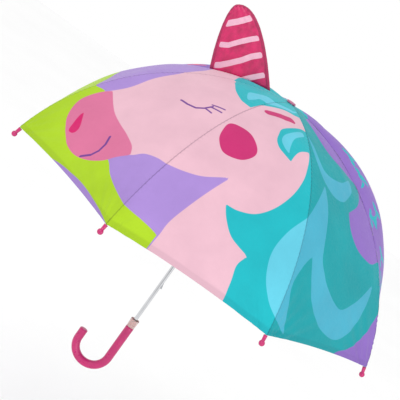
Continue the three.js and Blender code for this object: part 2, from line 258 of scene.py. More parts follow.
def rounded(profile, radius, steps=4, closed=False):
    """A profile whose corners are rounded by the given radius."""
    rounded_points = []
    count = len(profile)
    for i, corner in enumerate(profile):
        if not closed and i in (0, count - 1):
            rounded_points.append(corner)
            continue
        here = Vector((corner[0], corner[1]))
        before = Vector(profile[i - 1]) - here
        after = Vector(profile[(i + 1) % count]) - here
        reach = min(radius, 0.45 * before.length, 0.45 * after.length)
        first = here + before.normalized() * reach
        last = here + after.normalized() * reach
        for j in range(steps + 1):
            share = j / steps
            point = first.lerp(here, share).lerp(here.lerp(last, share), share)
            rounded_points.append((point.x, point.y))
    return rounded_points


# ---- materials ----


class Look:
    """A node material and short ways to add to it."""

    def __init__(self, name):
        self.material = bpy.data.materials.new(name)
        self.material.use_nodes = True
        self.tree = self.material.node_tree
        self.shader = self.tree.nodes["Principled BSDF"]

    def set(self, **values):
        for socket, value in values.items():
            name = socket.replace("_", " ")
            if isinstance(value, tuple) and len(value) == 3:
                value = (*value, 1)
            self.shader.inputs[name].default_value = value
        return self

    def node(self, kind, **values):
        made = self.tree.nodes.new(kind)
        for key, value in values.items():
            setattr(made, key, value)
        return made

    def link(self, source, target):
        self.tree.links.new(source, target)

    def place(self, kind="Object"):
        return self.node("ShaderNodeTexCoord").outputs[kind]

    def noise(self, scale, detail=2.0, rough=0.5, vector=None):
        made = self.node("ShaderNodeTexNoise")
        made.inputs["Scale"].default_value = scale
        made.inputs["Detail"].default_value = detail
        made.inputs["Roughness"].default_value = rough
        self.link(vector or self.place(), made.inputs["Vector"])
        return made.outputs["Fac"]

    def fit(self, value, low, high, to_low, to_high):
        made = self.node("ShaderNodeMapRange")
        for socket, number in (("From Min", low), ("From Max", high), ("To Min", to_low), ("To Max", to_high)):
            made.inputs[socket].default_value = number
        self.link(value, made.inputs["Value"])
        return made.outputs["Result"]

    def math(self, operation, first, second):
        made = self.node("ShaderNodeMath", operation=operation)
        for i, value in enumerate((first, second)):
            if isinstance(value, (int, float)):
                made.inputs[i].default_value = value
            else:
                self.link(value, made.inputs[i])
        return made.outputs[0]

    def mix(self, share, first, second, blend="MIX"):
        made = self.node("ShaderNodeMix", data_type="RGBA", blend_type=blend)
        for socket, value in ((made.inputs[0], share), (made.inputs[6], first), (made.inputs[7], second)):
            if isinstance(value, (int, float)):
                socket.default_value = value
            elif isinstance(value, tuple):
                socket.default_value = (*value, 1)
            else:
                self.link(value, socket)
        return made.outputs[2]

    def attribute(self, name):
        return self.node("ShaderNodeAttribute", attribute_name=name).outputs["Fac"]

    def strokes(self, lines):
        """Millimetres inside a set of drawn lines, from the print's own places."""
        place = self.node("ShaderNodeCombineXYZ")
        self.link(self.attribute("print_x"), place.inputs[0])
        self.link(self.attribute("print_y"), place.inputs[1])
        best = None
        for width, points in lines:
            ends = [Vector((*flat_place(*point), 0)) for point in points]
            for start, end in zip(ends, ends[1:]):
                run = end - start
                offset = self.vector("SUBTRACT", place.outputs[0], start)
                share = self.math("MULTIPLY", self.vector("DOT_PRODUCT", offset, run), 1 / run.length_squared)
                share.node.use_clamp = True
                reached = self.vector("SCALE", run, share)
                gap = self.vector("LENGTH", self.vector("SUBTRACT", offset, reached))
                field = self.math("SUBTRACT", width / 2, gap)
                best = field if best is None else self.math("MAXIMUM", best, field)
        return best

    def vector(self, operation, first, second=None):
        made = self.node("ShaderNodeVectorMath", operation=operation)
        for value, place in ((first, 0), (second, "Scale" if operation == "SCALE" else 1)):
            if isinstance(value, Vector):
                made.inputs[place].default_value = value
            elif value is not None:
                self.link(value, made.inputs[place])
        return made.outputs["Value" if operation in ("DOT_PRODUCT", "LENGTH") else "Vector"]

    def bump(self, height, strength, distance, below=None):
        made = self.node("ShaderNodeBump")
        made.inputs["Strength"].default_value = strength
        made.inputs["Distance"].default_value = distance
        self.link(height, made.inputs["Height"])
        if below is not None:
            self.link(below, made.inputs["Normal"])
        return made.outputs["Normal"]


def moulded(name, colour, roughness, grain=0.12, transmission=0.0):
    """Moulded plastic: faint mottling, a fine skin and dulled rubbed places."""
    look = Look(name).set(Coat_Weight=0.25, Coat_Roughness=0.12, Transmission_Weight=transmission)
    mottle = look.noise(55, 3)
    darker = tuple(channel * 0.86 for channel in colour)
    look.link(look.mix(look.fit(mottle, 0.3, 0.7, 0, 1), darker, tuple(colour)), look.shader.inputs["Base Color"])
    look.link(look.fit(look.noise(140, 4, 0.6), 0.3, 0.75, roughness * 0.8, roughness * 1.35),
              look.shader.inputs["Roughness"])
    look.link(look.bump(look.noise(900, 3), grain, 0.0002), look.shader.inputs["Normal"])
    return look.material


def plated(name, colour, roughness, brushing=420.0, stretch=(1, 1, 0.03), painted_dark_reflection=0.0):
    """Bright metal with fine marks drawn along its length, and a painted reflection: a dark line where it faces the
    eye.
    """
    look = Look(name).set(Metallic=1.0)
    mapping = look.node("ShaderNodeMapping")
    mapping.inputs["Scale"].default_value = stretch
    look.link(look.place(), mapping.inputs["Vector"])
    marks = look.noise(brushing, 3, 0.6, mapping.outputs["Vector"])
    cloudy = look.noise(30, 3)
    darker = tuple(channel * 0.8 for channel in colour)
    tone = look.mix(look.fit(cloudy, 0.3, 0.75, 0, 1), tuple(colour), darker)
    if painted_dark_reflection:
        # Painted reflection: the base colour goes dark where the surface faces the camera, standing in for a dark
        # reflection down the middle.
        facing = look.node("ShaderNodeLayerWeight").outputs["Facing"]
        tone = look.mix(look.fit(facing, painted_dark_reflection * 0.6, painted_dark_reflection * 1.6, 0, 1), (0.03, 0.03, 0.035), tone)
    look.link(tone, look.shader.inputs["Base Color"])
    look.link(look.fit(marks, 0.25, 0.8, roughness * 0.6, roughness * 1.6), look.shader.inputs["Roughness"])
    look.link(look.bump(marks, 0.06, 0.0002), look.shader.inputs["Normal"])
    return look.material


# ---- the canopy's shape ----


def rib_table():
    steps = 1900
    step = RIB_LENGTH / steps
    along = np.arange(steps + 1) * step
    middle = (np.arange(steps) + 0.5) * step
    slope = slope_at(middle)
    reach = PIVOT_RADIUS + np.concatenate([[0], np.cumsum(step * np.cos(slope))])
    height = CROWN_HEIGHT - np.concatenate([[0], np.cumsum(step * np.sin(slope))])
    return along, reach, height


def slope_at(along):
    return CROWN_SLOPE + (TIP_SLOPE - CROWN_SLOPE) * (np.clip(along, 0, None) / RIB_LENGTH) ** SLOPE_GROWTH


ALONG, REACH, HEIGHT = rib_table()


def rib_at(along, lift=0.0):
    """Reach from the shaft's axis and height of the rib's middle line, moved outwards by lift."""
    slope = slope_at(along)
    inside = np.minimum(along, 0)
    reach = np.interp(along, ALONG, REACH) + inside * np.cos(CROWN_SLOPE)
    height = np.interp(along, ALONG, HEIGHT) - inside * np.sin(CROWN_SLOPE)
    return reach + lift * np.sin(slope), height + lift * np.cos(slope)


def cloth_at(rib, along, across, settings, lift=0.0):
    """Points of the cloth: down the rib, and across from -1 to 1 between the gores' middle lines."""
    half = GORE / 2
    reach, height = rib_at(along, settings.lift + lift)
    away = np.abs(across)
    fullness = np.sin(np.clip(along / BILLOW_LENGTH, 0, 1) * math.pi) ** BILLOW_POWER
    most = [settings.taut_billow if gore % RIBS < TAUT_GORES else settings.slack_billow for gore in (rib, rib - 1)]
    billow = np.where(across >= 0, *most) * away * (2 - away) * fullness
    slope = slope_at(along)
    outwards = billow * np.sin(slope)
    local_x = reach - away * reach * math.sin(half) ** 2 + outwards * math.cos(half)
    local_y = across * reach * math.cos(half) * math.sin(half) + outwards * math.sin(half) * np.sign(across)
    height = height + billow * np.cos(slope)
    turn = HORN_TURN + GORE * rib
    x = local_x * math.cos(turn) - local_y * math.sin(turn)
    y = local_x * math.sin(turn) + local_y * math.cos(turn)
    return np.stack([x, y, height], -1)


def rumples(points, along, across, rib):
    """Small creases: long ones that fan from the tip and short puckers beside each seam."""
    azimuth = np.arctan2(points[..., 1], points[..., 0])
    near_hem = np.clip((along - 0.30) / 0.17, 0, 1) ** 2
    away = np.abs(across)
    fan = np.arctan2(away * 0.13, np.clip(CLOTH_TO + 0.02 - along, 0.004, None))
    side = np.sign(across)
    seed = rib * 2.3 + side * 0.7
    creases = np.sin(fan * 17 + seed) * np.sin(fan * 7.3 + seed * 2.1)
    fade = np.clip(away / 0.12, 0, 1) * np.clip((1 - away) / 0.35, 0, 1)
    tip = 0.0018 * creases * near_hem * fade
    slack = 0.0012 * np.sin(azimuth * 2 + along * 21 + seed) * np.sin(along * 33 - azimuth * 9)
    slack = slack * np.sin(np.clip(along / CLOTH_TO, 0, 1) * math.pi) * np.clip(away / 0.2, 0, 1)
    slack = slack * np.clip((1 - away) / 0.3, 0, 1)
    pucker = 0.0005 * np.sin(along * 700 + seed) * np.exp(-((away * 0.12 / 0.006) ** 2))
    pucker = pucker * np.clip(along / 0.05, 0, 1)
    return tip + slack + pucker


def cloth_surface(rib, along, across, settings):
    """The creased cloth's points."""
    base = cloth_at(rib, along, across, settings)
    lifted = cloth_at(rib, along, across, settings, 0.001)
    outward = lifted - base
    outward /= np.linalg.norm(outward, axis=-1, keepdims=True)
    return base + outward * rumples(base, along, across, rib)[..., None]


# ---- the print: outlines as (degrees from the horn, millimetres from the crown) ----

PRINT = {
    "green": [
        (-16, 345), (-16, 345), (0, 316), (0, 316), (23, 312), (38, 321), (44.5, 333), (50.3, 332), (58.3, 402),
        (68, 402), (75.5, 404), (80, 417), (85, 426), (90, 432), (94, 435), (100.2, 441), (100.2, 441),
        (100.4, 495), (100.4, 495), (40, 500), (-16, 500), (-16, 500),
    ],
    "face": [
        (49.3, 333), (49.3, 333), (50.4, 320), (51.7, 289), (49.7, 247), (46.7, 200), (42, 174), (36, 155),
        (24, 147), (4, 140), (-20, 116), (-50, 60), (-120, 22), (150, 40), (137.4, 130), (136.6, 298),
        (137, 500), (137, 500), (100.4, 500), (100.4, 500), (100.6, 441), (100.6, 414), (102, 376), (104.3, 333),
        (106.4, 303), (106.4, 303), (100, 327), (95, 338), (90, 344), (86.3, 348), (82.2, 358), (79.4, 375),
        (74, 390), (60.5, 374),
    ],
    "muzzle": [
        (50.7, 320), (50.7, 320), (49.3, 333), (48.6, 351), (48.6, 370), (50.3, 390), (52, 403), (54.8, 416),
        (58.7, 428), (62, 435), (66, 436), (70, 429), (74, 414), (76.6, 394), (79.4, 375), (79.4, 375),
        (77.3, 364), (72.6, 357), (66.7, 352), (61.6, 346), (57.3, 337), (53.4, 327),
    ],
    "nostril": [(54.2, 381), (56.6, 391), (59, 405), (58.8, 415), (57, 417), (55.6, 405)],
    "blush": [
        (92, 211), (92.4, 231), (94.5, 254), (99, 272), (105, 266), (108.3, 248), (108, 230), (102.4, 209),
        (96.4, 205),
    ],
    "teal_lock": [
        (52, 108), (55.5, 116), (69, 136), (80, 146), (84.5, 145), (89, 141), (89, 141), (89.6, 123),
        (90, 110), (95, 94), (106, 75), (123, 61), (156, 42), (-150, 26), (-90, 30), (-40, 54), (-5, 80), (24, 93),
    ],
    "light_lock": [
        (81, 130), (72, 111), (73, 91), (77.6, 70), (96, 57), (118, 45), (136, 28), (119, 55), (97, 78),
        (89.6, 90), (83, 100), (82.8, 114),
    ],
    "curl": [
        (136, 94), (136, 94), (129.4, 99), (120, 121), (113, 147), (112.6, 166), (113.3, 184), (116.6, 198),
        (123.4, 206), (123.4, 206), (125.2, 184), (128.3, 166), (136, 148), (136, 148),
    ],
    "light_curl": [
        (129.4, 110), (121, 133), (116, 157), (115.5, 175), (118.4, 187), (121.6, 192), (121.6, 192),
        (121.4, 174), (123, 147), (131, 118),
    ],
    "mane": [
        (109.7, 344), (109.7, 344), (113.7, 342), (118.8, 330), (123.4, 303), (127.6, 265), (131, 223),
        (132.7, 190), (134, 156), (134.7, 98), (130, 39), (96, 3), (160, 12), (152.6, 75), (155, 118),
        (161.4, 141), (171, 155), (180, 165), (180, 165), (179, 186), (170, 219), (160.7, 240), (160.7, 240),
        (160.7, 267), (163.6, 290), (168, 303), (174.5, 309), (181, 296), (181, 296), (181, 374), (181, 374),
        (174.6, 423), (170, 448), (164, 465), (158, 500), (158, 500), (123, 500), (123, 500), (122, 441),
        (121, 412), (122.4, 392), (122.4, 392), (116.3, 382), (112.2, 363),
    ],
    "light_mane": [
        (135.3, 277), (138.6, 248), (144, 209), (144, 209), (145.2, 252), (145.5, 331), (148, 355),
        (151.5, 375), (157, 393), (161.4, 396), (168.6, 372), (175.5, 340), (175.5, 340), (174.2, 361),
        (170, 406), (165.5, 435), (160.3, 445), (153, 434), (146.8, 408), (143, 374), (140.6, 337),
        (140.6, 337), (137.6, 360), (136.3, 396), (140.2, 462), (140.2, 462), (134.4, 440), (131, 420),
        (128.7, 396), (127.7, 364), (129.7, 325),
    ],
    "light_sweep": [
        (136, 104), (139, 126), (142, 159), (145.5, 180), (152.3, 188), (160.7, 186), (170.3, 171),
        (170.3, 171), (168, 196), (159, 222), (153.8, 226), (148.4, 218), (143, 195), (138.6, 154),
    ],
}
EAR = [(98.9, 121), (104.3, 114), (110.8, 106), (118.1, 96)]  # the inner ear's middle line
EAR_WIDTH = 15
STROKES = [
    # width in millimetres, then the line
    (4.4, [(69, 378), (70.4, 391), (70.8, 405), (70, 418), (67.8, 431)]),
    (3.8, [(69.4, 247), (72.8, 244), (76.5, 237), (78.6, 225), (79.8, 210)]),
    (3, [(78.6, 208), (84.5, 196)]),
    (3, [(79.3, 214), (85.2, 206)]),
    (3, [(78.6, 224), (82.8, 222)]),
]
LEAVES = 15  # leaf sprays on each panel at the back
LEAF_LENGTH = 13  # from a leaf's middle to its tip, in millimetres
LEAF_WIDTH = 4.4  # from a leaf's middle to its side
PRINT_EDGE = 0.4  # millimetres over which two printed colours meet
BACK_HEM = 398  # where the meadow starts at the back, in millimetres from the crown


def flat_place(turn, distance):
    """Degrees from the horn and millimetres from the crown, on the flat map of the print."""
    angle = math.radians(turn)
    return distance * math.cos(angle), distance * math.sin(angle)


def smooth_loop(points, steps=7):
    """A smooth closed line through the points; a point given twice is a corner."""
    placed = [Vector(flat_place(*point)) for point in points]
    count = len(placed)
    line = []
    for i in range(count):
        before, here = placed[i - 1], placed[i]
        after, beyond = placed[(i + 1) % count], placed[(i + 2) % count]
        if (after - here).length < 1e-6:
            continue
        first = (after - before) / 6 if (here - before).length > 1e-6 else Vector((0, 0))
        last = (beyond - here) / 6 if (beyond - after).length > 1e-6 else Vector((0, 0))
        longest = (after - here).length / 2.4
        first = first if first.length < longest else first.normalized() * longest
        last = last if last.length < longest else last.normalized() * longest
        c1, c2 = here + first, after - last
        for j in range(steps):
            t = j / steps
            u = 1 - t
            line.append(here * u**3 + c1 * 3 * u * u * t + c2 * 3 * u * t * t + after * t**3)
    return np.array([tuple(point) for point in line])


def distances(places, line, closed):
    ends = np.roll(line, -1, axis=0) if closed else line[1:]
    starts = line if closed else line[:-1]
    nearest = np.full(len(places), 1e9)
    for start, end in zip(starts, ends):
        run = end - start
        share = np.clip(((places - start) @ run) / max(run @ run, 1e-9), 0, 1)
        gap = places - start - share[:, None] * run
        nearest = np.minimum(nearest, np.hypot(gap[:, 0], gap[:, 1]))
    return nearest


def inside(places, line):
    within = np.zeros(len(places), bool)
    for start, end in zip(line, np.roll(line, -1, axis=0)):
        if start[1] == end[1]:
            continue
        spans = (start[1] > places[:, 1]) != (end[1] > places[:, 1])
        cross = (end[0] - start[0]) * (places[:, 1] - start[1]) / (end[1] - start[1]) + start[0]
        within ^= spans & (places[:, 0] < cross)
    return within


def shape_field(places, points):
    """Millimetres inside (above zero) or outside (below zero) a printed shape."""
    line = smooth_loop(points)
    gap = distances(places, line, True)
    return np.where(inside(places, line), gap, -gap)


def line_field(places, points, width):
    line = np.array([flat_place(*point) for point in points])
    return width / 2 - distances(places, line, False)


def leaf_fields(places):
    """Sprays of teal and pink leaves on the plain panels."""
    draw = seeded(11)
    fields = {"leaf_teal": np.full(len(places), -1e9), "leaf_pink": np.full(len(places), -1e9)}
    for panel in range(4):
        middle = 202.5 + 45 * panel
        for spray in range(LEAVES):
            turn = middle + draw.uniform(-20, 20)
            distance = draw.uniform(110, 340)
            name = "leaf_teal" if spray % 3 else "leaf_pink"
            lean = draw.uniform(-0.6, 0.6)
            for leaf in (-1, 0, 1):
                angle = math.radians(turn)
                x, y = flat_place(turn + leaf * 2.4, distance + (10 if leaf else -6))
                heading = angle + lean + leaf * 0.8
                run = np.array([math.cos(heading), math.sin(heading)])
                gap = places - np.array([x, y])
                along = gap @ run / LEAF_LENGTH
                across = (gap @ np.array([-run[1], run[0]])) / LEAF_WIDTH
                fields[name] = np.maximum(fields[name], (1 - np.hypot(along, across)) * 5)
    return fields


def print_fields(points, along):
    """Every printed shape's field at the cloth's points, for the attributes of the print."""
    turn = np.degrees(np.arctan2(points[:, 1], points[:, 0]) - HORN_TURN)
    distance = along * 1000
    angle = np.radians(turn)
    places = np.stack([distance * np.cos(angle), distance * np.sin(angle)], -1)
    fields = {name: shape_field(places, outline) for name, outline in PRINT.items()}
    fields["ear"] = line_field(places, EAR, EAR_WIDTH)
    fields.update(leaf_fields(places))
    turn = np.mod(turn, 360)
    wave = BACK_HEM - 12 * np.sin(angle * 5) - 7 * np.sin(angle * 11 + 1)
    back = (turn > 181) & (turn < 359)
    fields["green"] = np.where(back, distance - wave, fields["green"])
    fields["back"] = np.where(turn > 180, np.minimum(turn - 180, 360 - turn), np.maximum(-turn, turn - 180)) * 4
    teal = np.maximum.reduce([fields["mane"], fields["teal_lock"], fields["curl"]])
    sky = np.maximum.reduce([fields[name] for name in ("light_mane", "light_lock", "light_curl", "light_sweep")])
    return {
        "print_back": fields["back"],
        "print_green": fields["green"],
        "print_face": fields["face"],
        "print_muzzle": fields["muzzle"],
        "print_nostril": fields["nostril"],
        "print_blush": np.maximum(fields["blush"], fields["ear"]),
        "print_x": places[:, 0],
        "print_y": places[:, 1],
        "print_teal": teal,
        "print_sky": sky,
        "print_leaf_teal": np.where(back, fields["leaf_teal"], -50),
        "print_leaf_pink": np.where(back, fields["leaf_pink"], -50),
    }


def printed_cloth(name, settings, outside):
    """Printed woven polyester: crisp colours, a fine weave, faint creases and a soft sheen. The front gore that faces
    away from the light gets painted shade, and the seams get a dark line that is partly painted shade.
    """
    look = Look(name).set(Sheen_Weight=0.06, Sheen_Roughness=0.4, Specular_IOR_Level=0.22)
    # The fourth gore from the horn faces away from the light. Its purple, teal and light blue are swapped for darker
    # copies, which is painted shade.
    deep = look.attribute("print_shaded_gore")
    teal = look.mix(deep, tuple(settings.teal), tuple(settings.shaded_teal))
    sky = look.mix(deep, tuple(settings.sky), tuple(settings.shaded_sky))
    layers = [
        ("print_back", settings.back_and_shaded_purple),
        ("print_leaf_teal", settings.teal),
        ("print_leaf_pink", srgb(222, 92, 132)),
        ("print_green", settings.green),
        ("print_face", settings.face),
        ("print_muzzle", settings.muzzle),
        ("print_nostril", settings.nostril),
        ("print_blush", settings.blush),
        ("strokes", settings.line),
        ("print_teal", teal),
        ("print_sky", sky),
    ]
    # The ground: purple, with a darker purple painted as shade on the gore that faces away from the light.
    colour = look.mix(deep, tuple(settings.purple), tuple(settings.back_and_shaded_purple))
    for attribute, over in layers:
        field = look.strokes(STROKES) if attribute == "strokes" else look.attribute(attribute)
        over = over if isinstance(over, bpy.types.NodeSocket) else tuple(over)
        colour = look.mix(look.fit(field, -PRINT_EDGE, PRINT_EDGE, 0, 1), colour, over)
    # A dark line along each rib. It is partly the seam itself and partly painted shade of the crease along the rib.
    seam = look.fit(look.attribute("seam"), 0.62, 0.95, 0, 0.42)
    hem = look.fit(look.attribute("hem"), 0.0, 1.0, 0, 0.16)
    dye = look.fit(look.noise(16, 4, 0.55), 0.3, 0.72, 0.0, 0.12)
    # Multiplies in the seam line (partly painted shade), the hem band and the dye's uneven tone.
    dark = look.math("MAXIMUM", look.math("ADD", seam, hem), dye)
    colour = look.mix(dark, colour, srgb(70, 40, 90), "MULTIPLY")
    if not outside:
        colour = look.mix(0.42, colour, srgb(238, 232, 240))
    look.link(colour, look.shader.inputs["Base Color"])
    look.link(look.fit(look.noise(240, 3), 0.3, 0.7, 0.5, 0.66), look.shader.inputs["Roughness"])
    threads = []
    for direction in ("X", "Z"):
        wave = look.node("ShaderNodeTexWave", wave_type="BANDS", bands_direction=direction)
        wave.inputs["Scale"].default_value = 380
        wave.inputs["Distortion"].default_value = 0.6
        look.link(look.place(), wave.inputs["Vector"])
        threads.append(wave.outputs["Fac"])
    weave = look.math("MULTIPLY", threads[0], threads[1])
    creased = look.bump(look.noise(20, 5, 0.62), 0.45, 0.003)
    look.link(look.bump(weave, 0.10, 0.0002, creased), look.shader.inputs["Normal"])
    return look.material


# ---- canopy pieces ----


def outward_normals(rib, side, along, across, settings):
    """Normals of the creased cloth on one side of a rib; at the gore's middle both sides agree."""
    step, shift = 0.0006, 0.004
    low, high = (0, 1) if side > 0 else (-1, 0)
    down = cloth_surface(rib, along + step, across, settings) - cloth_surface(rib, along - step, across, settings)
    round_ = cloth_surface(rib, along, np.clip(across + shift, low, high), settings)
    round_ = round_ - cloth_surface(rib, along, np.clip(across - shift, low, high), settings)
    normals = np.cross(down, round_)
    turn = HORN_TURN + GORE * (rib + 0.5 * side)
    sideways = np.array([-math.sin(turn), math.cos(turn), 0.0])
    flattened = normals - sideways * (normals @ sideways)[..., None]
    normals = np.where((np.abs(across) > 1 - 1e-6)[..., None], flattened, normals)
    return normals / np.linalg.norm(normals, axis=-1, keepdims=True)


def cloth_half(rib, side, from_along, to_along, rows, columns, settings):
    """One side of a rib's cloth: outer and inner points, normals, places on the cloth, faces and their sides."""
    across = np.linspace(0, 1, columns + 1)[None, :] * np.ones((rows + 1, 1)) * side
    if side < 0:
        across = across[:, ::-1]
    away = np.abs(across)
    hem = settings.scallop * away * (2 - away) if to_along > FLEX_ALONG else 0 * away
    along = from_along + (to_along - hem - from_along) * np.linspace(0, 1, rows + 1)[:, None]
    outer = cloth_surface(rib, along, across, settings)
    normals = outward_normals(rib, side, along, across, settings)
    inner = outer - normals * settings.thickness
    width, count = columns + 1, (rows + 1) * (columns + 1)
    faces, kinds = [], []
    for i in range(rows):
        for j in range(columns):
            a, b, c, d = i * width + j, i * width + j + 1, (i + 1) * width + j + 1, (i + 1) * width + j
            faces += [(a, d, c, b), (a + count, b + count, c + count, d + count)]
            kinds += [0, 1]
    rim = [(0, j) for j in range(columns)] + [(i, columns) for i in range(rows)]
    rim += [(rows, j) for j in range(columns, 0, -1)] + [(i, 0) for i in range(rows, 0, -1)]
    numbers = [i * width + j for i, j in rim]
    for a, b in zip(numbers, numbers[1:] + numbers[:1]):
        faces.append((a, b, b + count, a + count))
        kinds.append(0)
    return outer.reshape(-1, 3), inner.reshape(-1, 3), normals.reshape(-1, 3), along.ravel(), away.ravel(), faces, kinds


def cloth_patch(name, rib, sides, from_along, to_along, grid, settings):
    """A thin closed patch of the canopy, printed, with normals that match its neighbours'."""
    points, normals, faces, kinds, fields = [], [], [], [], {}
    start = 0
    for side in sides:
        rows, columns = grid[side]
        outer, inner, up, along, away, more, which = cloth_half(
            rib, side, from_along, to_along, rows, columns, settings
        )
        points += [outer, inner]
        normals += [up, -up]
        faces += [tuple(number + start for number in face) for face in more]
        kinds += which
        start += 2 * len(outer)
        values = print_fields(outer, along)
        gore = rib if side > 0 else rib - 1
        # Marks the gore that faces away from the light, for its painted shade.
        values["print_shaded_gore"] = np.full(len(along), 1.0 if gore == TAUT_GORES - 1 else 0.0)
        reach = np.hypot(outer[:, 0], outer[:, 1])
        # Near the rib's line, for the dark seam line, which is partly painted shade of its crease.
        values["seam"] = np.clip(1 - away * reach * math.sin(GORE / 2) / 0.004, 0, 1)
        from_hem = CLOTH_TO - settings.scallop * away * (2 - away) - along
        values["hem"] = np.clip((0.010 - from_hem) / 0.0015, 0, 1)
        for key, value in values.items():
            fields.setdefault(key, []).extend([value, value])
    mesh = bpy.data.meshes.new(name)
    mesh.from_pydata(np.concatenate(points).tolist(), [], faces)
    mesh.shade_smooth()
    mesh.polygons.foreach_set("material_index", kinds)
    for key, values in fields.items():
        attribute = mesh.attributes.new(key, "FLOAT", "POINT")
        attribute.data.foreach_set("value", np.concatenate(values).astype(np.float32))
    mesh.normals_split_custom_set_from_vertices([tuple(normal) for normal in np.concatenate(normals)])
    return mesh


def rib_axis(rib):
    turn = HORN_TURN + GORE * rib
    return Vector((-math.sin(turn), math.cos(turn), 0))


class UMBRELLA_OT_canopy(bpy.types.Operator):
    """Make the printed canopy: a top piece and two skirt pieces for each rib"""

    bl_idname = "umbrella.canopy"
    bl_label = "Canopy"

    def execute(self, context):
        settings = context.scene.umbrella_canopy
        cloth = [printed_cloth("printed_cloth_outside", settings, True),
                 printed_cloth("printed_cloth_inside", settings, False)]
        for rib in range(RIBS):
            number = rib + 1
            printed = {side: 0 < rib + side * 0.5 < TAUT_GORES for side in (1, -1)}
            grid = {side: (60, 30) if printed[side] else (32, 16) for side in (1, -1)}
            mesh = cloth_patch(f"canopy_top_{number}", rib, (-1, 1), CLOTH_FROM, FLEX_ALONG, grid, settings)
            top = self.piece(mesh, cloth, number, "inner")
            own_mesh(top)
            for side, word in ((1, "left"), (-1, "right")):
                grid = {side: (54, 34) if printed[side] else (30, 18)}
                mesh = cloth_patch(
                    f"canopy_skirt_{number}_{word}", rib, (side,), FLEX_ALONG, CLOTH_TO, grid, settings
                )
                skirt = self.piece(mesh, cloth, number, "outer")
                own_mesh(skirt)
        return {"FINISHED"}

    def piece(self, mesh, cloth, number, part):
        made = linked(mesh.name, mesh)
        for material in cloth:
            mesh.materials.append(material)
        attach(made, f"rib_{number}_{part}")
        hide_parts(f"canopy_{part}_{number}")
        return made


# ---- the horn ----

HORN_BASE_FROM = 0.034
HORN_BASE_TO = 0.151
HORN_FOOT = 0.0036
HORN_APEX = Vector((0.183, 0.084))
# How far each edge reaches out of its base and into the apex, along its own heading.
HORN_BACK_HEADING = Vector((0.66, 0.75)) * 0.060
HORN_FRONT_HEADING = Vector((0.45, 0.89)) * 0.045
HORN_APEX_BACK = Vector((-0.787, 0.617)) * 0.044
HORN_APEX_FRONT = Vector((0.787, -0.617)) * 0.018
# Middle lines of the stripes, in millimetres from the shaft and from the crown, and their widths.
HORN_STRIPES = [
    (11, [(190, 36), (178, 47.5), (162, 62), (148, 78), (144, 90)]),
    (9.4, [(182, -3), (171, 9), (152, 20), (140, 34), (127, 48), (110, 64)]),
    (10.4, [(168, -34), (157, -25), (144, -16), (129, -1), (115, 14), (106, 27), (88, 44)]),
    (9.4, [(112, -31), (97, -15), (83, 0), (70, 13), (58, 23)]),
]
STRIPE_MARGIN = 0.0078  # from the horn's edges


def bezier(a, b, c, d, share):
    rest = 1 - share
    return a * rest**3 + b * 3 * rest**2 * share + c * 3 * rest * share**2 + d * share**3


def horn_foot(across):
    along = HORN_BASE_FROM + (HORN_BASE_TO - HORN_BASE_FROM) * across
    return Vector(rib_at(along, HORN_FOOT))


def horn_point(across, up):
    """A point in the first rib's plane: across from the back edge (0) to the front (1), up from base to apex."""
    apex = HORN_APEX + Vector((0, CROWN_HEIGHT))
    low_back, low_front = horn_foot(0), horn_foot(1)
    back = bezier(low_back, low_back + HORN_BACK_HEADING, apex + HORN_APEX_BACK, apex, up)
    front = bezier(low_front, low_front + HORN_FRONT_HEADING, apex + HORN_APEX_FRONT, apex, up)
    sag = horn_foot(across) - low_back.lerp(low_front, across)
    return back.lerp(front, across) + sag * (1 - up) ** 2


def in_horn_plane(point):
    return Vector((point.x * math.cos(HORN_TURN), point.x * math.sin(HORN_TURN), point.y))


